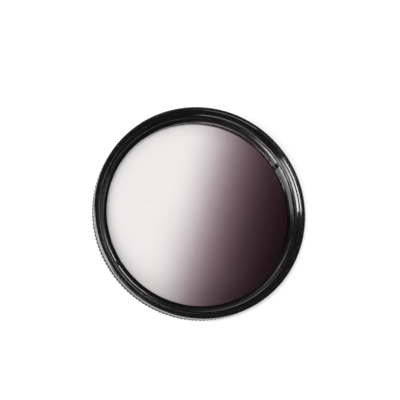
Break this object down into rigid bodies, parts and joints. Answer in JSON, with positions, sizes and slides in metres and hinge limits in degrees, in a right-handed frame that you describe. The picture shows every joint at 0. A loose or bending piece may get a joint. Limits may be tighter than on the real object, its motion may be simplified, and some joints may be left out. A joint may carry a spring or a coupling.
{
  "type": "graduated lens filter",
  "caption": "Screw-in graduated neutral filter for a camera lens: round tinted glass, clear on one side and dark on the other, in a knurled black ring.",
  "frame": {"origin": "on the optical axis, at the end of the male thread, which the filter lies on", "axes": "+Z along the optical axis, out of the front of the filter; +X from the clear side of the glass to its dark side"},
  "size_m": [0.055, 0.055, 0.0067],
  "materials": {
    "black_anodised": "black anodised, satin",
    "black_anodised_ring": "black anodised, fine turned satin",
    "graduated_glass": "polished, clear at -X and dark warm grey at +X"
  },
  "bodies": {
    "root": {"frame_ring": "black_anodised", "graduated_glass": "graduated_glass", "retaining_ring": "black_anodised_ring"}
  },
  "joints": []
}
